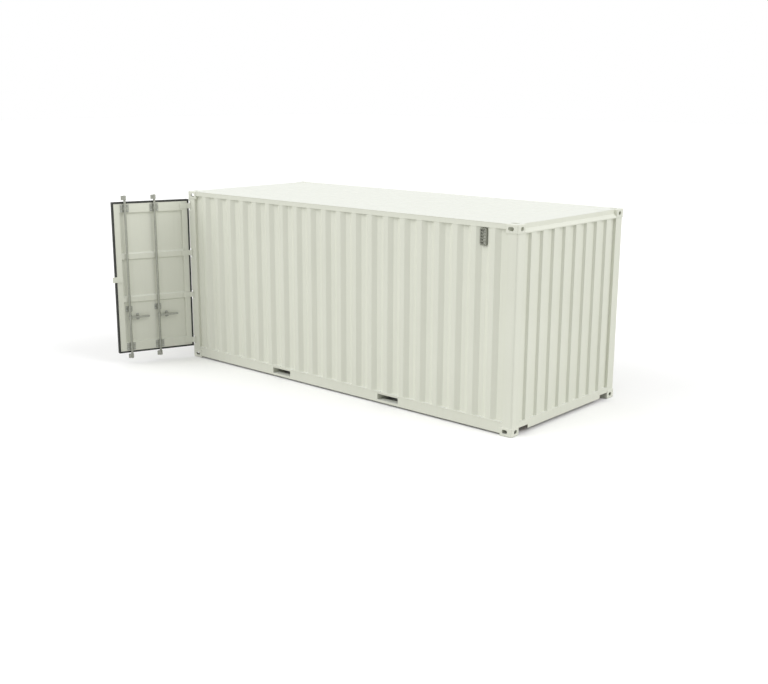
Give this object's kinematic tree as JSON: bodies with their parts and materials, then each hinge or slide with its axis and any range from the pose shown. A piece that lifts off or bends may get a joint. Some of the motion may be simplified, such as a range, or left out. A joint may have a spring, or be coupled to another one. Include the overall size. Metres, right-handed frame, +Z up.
{
  "type": "shipping container",
  "caption": "Corrugated steel freight container with hinged cargo doors at one end, lock bars, fork pockets and corner castings for stacking and lifting.",
  "frame": {"origin": "midway between the four bottom corner castings, on the plane they stand on", "axes": "+X towards the closed front end, +Y towards the left-hand side, +Z up"},
  "size_m": [6.5257, 3.5778, 2.591],
  "materials": {
    "container_paint": "semi-gloss sprayed paint",
    "galvanised_steel": "hot dip galvanised",
    "door_rubber": "extruded rubber",
    "floor_plywood": "varnished plywood",
    "vent_plastic": "moulded plastic"
  },
  "bodies": {
    "container": {"bottom_castings": "container_paint", "top_castings": "container_paint", "bottom_right_rail": "container_paint", "bottom_left_rail": "container_paint", "top_right_rail": "container_paint", "top_left_rail": "container_paint", "front_right_post": "container_paint", "front_left_post": "container_paint", "rear_right_post": "container_paint", "rear_left_post": "container_paint", "front_sill": "container_paint", "front_header": "container_paint", "door_sill": "container_paint", "door_header": "container_paint", "right_side_wall": "container_paint", "left_side_wall": "container_paint", "front_wall": "container_paint", "roof": "container_paint", "roof_corner_plates": "container_paint", "crossmembers": "container_paint", "fork_pockets": "container_paint", "plywood_floor": "floor_plywood", "vents": "vent_plastic", "right_hinge_lugs": "container_paint", "left_hinge_lugs": "container_paint", "header_keepers": "galvanised_steel", "sill_keepers": "galvanised_steel"},
    "right_door": {"right_door_frame": "container_paint", "right_door_panel": "container_paint", "right_door_gasket": "door_rubber", "right_hinge_blades": "container_paint", "right_bar_brackets": "galvanised_steel", "right_handle_catches": "galvanised_steel", "overlap_plate": "container_paint"},
    "left_door": {"left_door_frame": "container_paint", "left_door_panel": "container_paint", "left_door_gasket": "door_rubber", "left_hinge_blades": "container_paint", "left_bar_brackets": "galvanised_steel", "left_handle_catches": "galvanised_steel"},
    "right_inner_lock": {"right_inner_bar": "galvanised_steel", "right_inner_handle": "galvanised_steel"},
    "right_outer_lock": {"right_outer_bar": "galvanised_steel", "right_outer_handle": "galvanised_steel"},
    "left_inner_lock": {"left_inner_bar": "galvanised_steel", "left_inner_handle": "galvanised_steel"},
    "left_outer_lock": {"left_outer_bar": "galvanised_steel", "left_outer_handle": "galvanised_steel"}
  },
  "joints": [
    {"name": "right_door_hinge", "type": "hinge", "parent": "container", "child": "right_door", "pos_m": [-3.005, -1.201, 0], "axis": [0, 0, 1], "range_deg": [-160, 102]},
    {"name": "left_door_hinge", "type": "hinge", "parent": "container", "child": "left_door", "pos_m": [-3.005, 1.201, 0], "axis": [0, 0, -1], "range_deg": [0, 262]},
    {"name": "right_inner_bar_turn", "type": "hinge", "parent": "right_door", "child": "right_inner_lock", "pos_m": [-3.35505, -2.14522, 0], "axis": [0, 0, 1], "range_deg": [-100, 0]},
    {"name": "right_outer_bar_turn", "type": "hinge", "parent": "right_door", "child": "right_outer_lock", "pos_m": [-3.20183, -1.72424, 0], "axis": [0, 0, 1], "range_deg": [-100, 0]},
    {"name": "left_inner_bar_turn", "type": "hinge", "parent": "left_door", "child": "left_inner_lock", "pos_m": [-2.999, 0.194, 0], "axis": [0, 0, -1], "range_deg": [-100, 0]},
    {"name": "left_outer_bar_turn", "type": "hinge", "parent": "left_door", "child": "left_outer_lock", "pos_m": [-2.999, 0.642, 0], "axis": [0, 0, -1], "range_deg": [-100, 0]}
  ]
}
